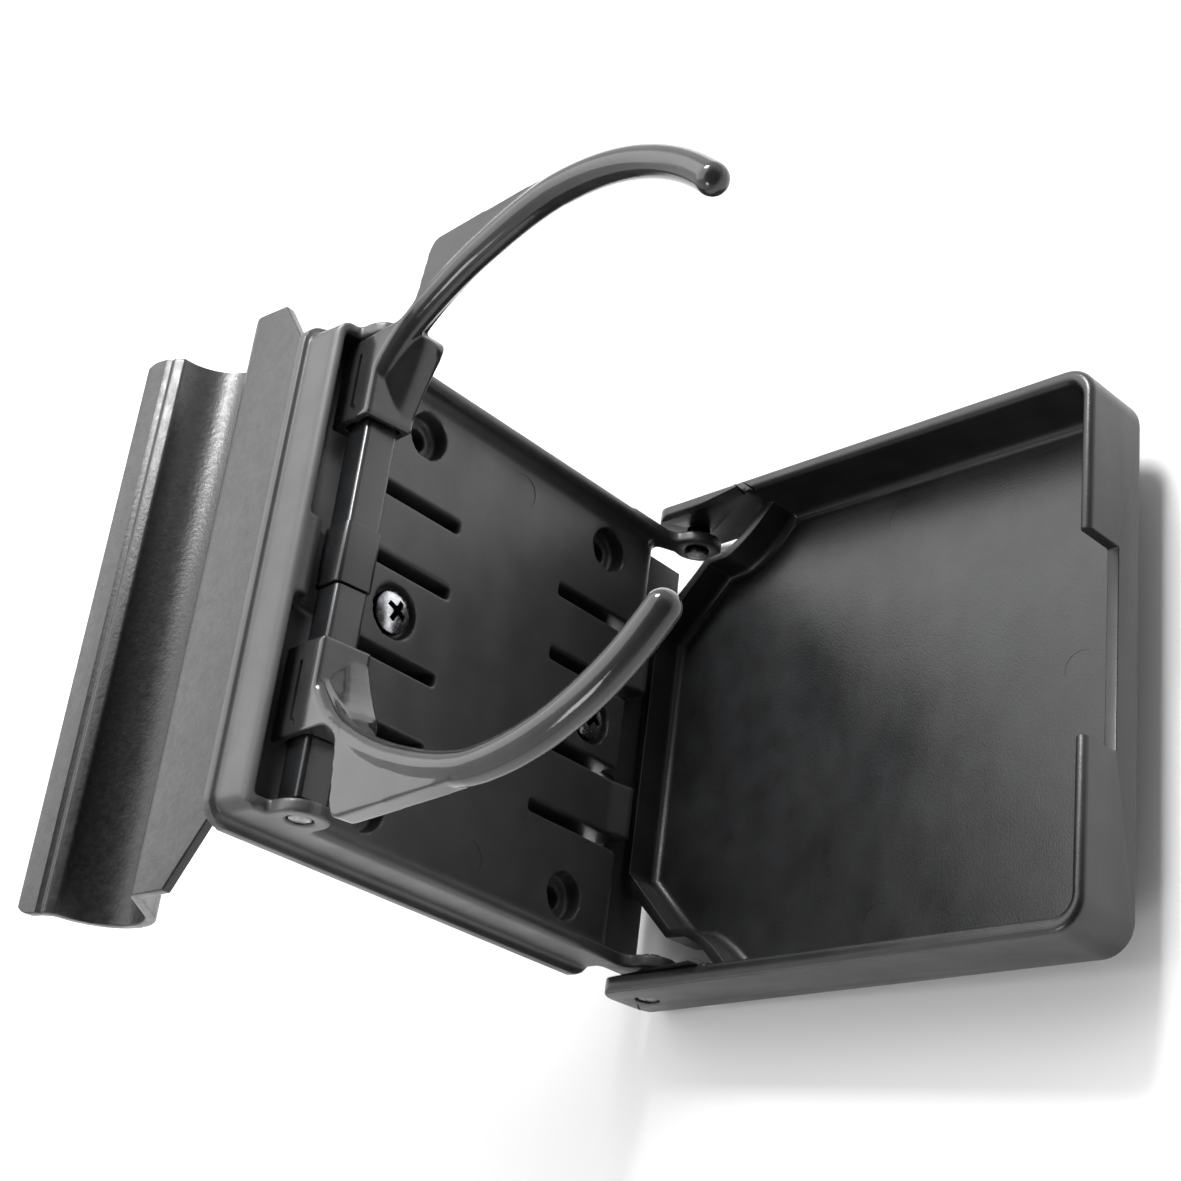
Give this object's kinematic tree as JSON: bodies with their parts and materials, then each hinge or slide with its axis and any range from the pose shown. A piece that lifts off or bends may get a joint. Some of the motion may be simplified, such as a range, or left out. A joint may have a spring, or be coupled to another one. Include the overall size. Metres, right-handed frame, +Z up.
{
  "type": "hair dryer holder",
  "caption": "Hook-on bracket carrying a folding holder: a back plate, a fold-down tray and two sliding, folding arms that cradle a handheld dryer.",
  "frame": {"origin": "middle of the back face of the bracket's vertical flange, on the centre line, 52.5 mm above the line where the open tray's floor meets the back plate", "axes": "+X along the holder's width, +Y backwards towards the hooked edge, +Z up; the holder faces -Y"},
  "size_m": [0.1177, 0.1674, 0.1146],
  "materials": {
    "black_plastic": "moulded, satin to glossy",
    "powder_coat": "fine orange-peel powder coat",
    "pin_steel": "blackened steel",
    "screw_chrome": "bright plated"
  },
  "bodies": {
    "holder": {"hook_bracket": "powder_coat", "back_plate": "black_plastic", "screw_upper": "screw_chrome", "screw_lower": "screw_chrome"},
    "bar": {"bar_half_right": "black_plastic", "bar_half_left": "black_plastic", "bar_pin_right": "pin_steel", "bar_pin_left": "pin_steel"},
    "right_arm": {"arm_right": "black_plastic"},
    "left_arm": {"arm_left": "black_plastic"},
    "tray": {"tray": "black_plastic", "tray_pin_right": "pin_steel", "tray_pin_left": "pin_steel"}
  },
  "joints": [
    {"name": "arms_fold", "type": "hinge", "parent": "holder", "child": "bar", "pos_m": [0, -0.0157, 0.0447], "axis": [1, 0, 0], "range_deg": [0, 97]},
    {"name": "right_arm_slide", "type": "slide", "parent": "bar", "child": "right_arm", "axis": [1, 0, 0], "range_m": [-0.0186, 0]},
    {"name": "left_arm_slide", "type": "slide", "parent": "bar", "child": "left_arm", "axis": [1, 0, 0], "range_m": [-0.0105, 0.0081]},
    {"name": "tray_fold", "type": "hinge", "parent": "holder", "child": "tray", "pos_m": [0, -0.0154, -0.04657], "axis": [-1, 0, 0], "range_deg": [0, 26]}
  ]
}
